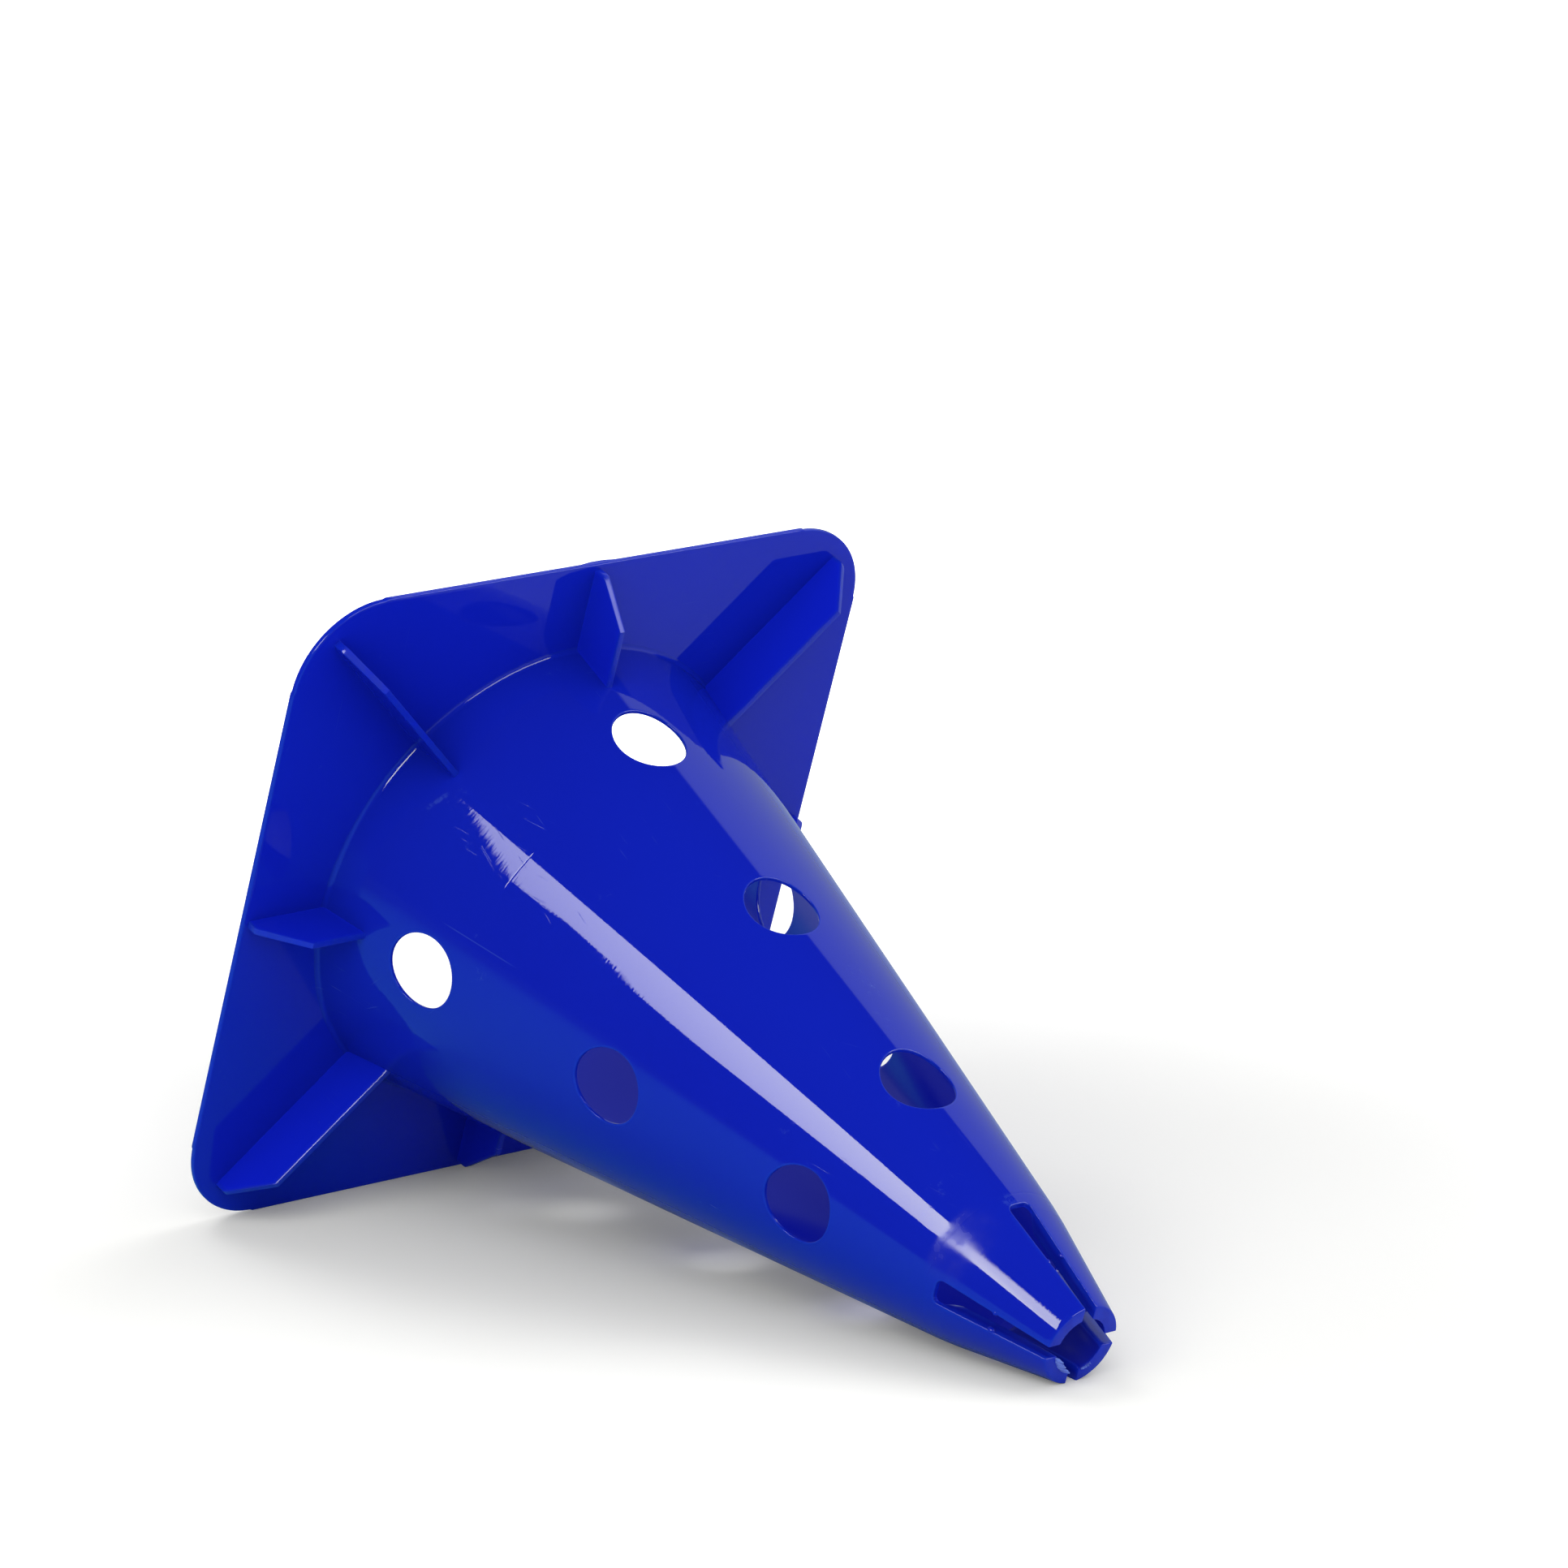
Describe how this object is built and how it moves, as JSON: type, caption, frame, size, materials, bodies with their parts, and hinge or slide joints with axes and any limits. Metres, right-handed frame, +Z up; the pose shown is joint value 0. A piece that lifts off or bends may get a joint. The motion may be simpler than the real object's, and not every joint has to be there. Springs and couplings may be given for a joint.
{
  "type": "training cone",
  "caption": "Low agility training cone with a square ribbed plate, pole holes through the hollow cone and a slit, sprung tip that grips an upright pole; lying on its side.",
  "frame": {"origin": "on the ground under the middle of the bounding box of the cone as it lies on its side", "axes": "+X along the lying cone from the foot plate towards the tip, +Y from the near holes to the far holes, +Z up"},
  "size_m": [0.331, 0.24, 0.2269],
  "materials": {
    "blue_polyethylene": "glossy injection-moulded polyethylene, lightly scuffed"
  },
  "bodies": {
    "cone": {"base_plate": "blue_polyethylene", "cone_body": "blue_polyethylene", "side_rib_lower": "blue_polyethylene", "side_rib_far": "blue_polyethylene", "side_rib_upper": "blue_polyethylene", "side_rib_near": "blue_polyethylene", "corner_rib_lower_far": "blue_polyethylene", "corner_rib_upper_far": "blue_polyethylene", "corner_rib_upper_near": "blue_polyethylene", "corner_rib_lower_near": "blue_polyethylene"},
    "finger_lower_far": {"finger_lower_far": "blue_polyethylene"},
    "finger_upper_far": {"finger_upper_far": "blue_polyethylene"},
    "finger_upper_near": {"finger_upper_near": "blue_polyethylene"},
    "finger_lower_near": {"finger_lower_near": "blue_polyethylene"}
  },
  "joints": [
    {"name": "flex_lower_far", "type": "hinge", "parent": "cone", "child": "finger_lower_far", "pos_m": [0.1175, 0.01873, 0.00873], "axis": [0.2336, 0.7071, 0.6674], "range_deg": [-1, 4.5], "stiffness_Nm_per_rad": 8},
    {"name": "flex_upper_far", "type": "hinge", "parent": "cone", "child": "finger_upper_far", "pos_m": [0.12988, 0.01873, 0.04409], "axis": [0.2336, -0.7071, 0.6674], "range_deg": [-1, 4.5], "stiffness_Nm_per_rad": 8},
    {"name": "flex_upper_near", "type": "hinge", "parent": "cone", "child": "finger_upper_near", "pos_m": [0.12988, -0.01873, 0.04409], "axis": [-0.2336, -0.7071, -0.6674], "range_deg": [-1, 4.5], "stiffness_Nm_per_rad": 8},
    {"name": "flex_lower_near", "type": "hinge", "parent": "cone", "child": "finger_lower_near", "pos_m": [0.1175, -0.01873, 0.00873], "axis": [-0.2336, 0.7071, -0.6674], "range_deg": [-1, 4.5], "stiffness_Nm_per_rad": 8}
  ]
}
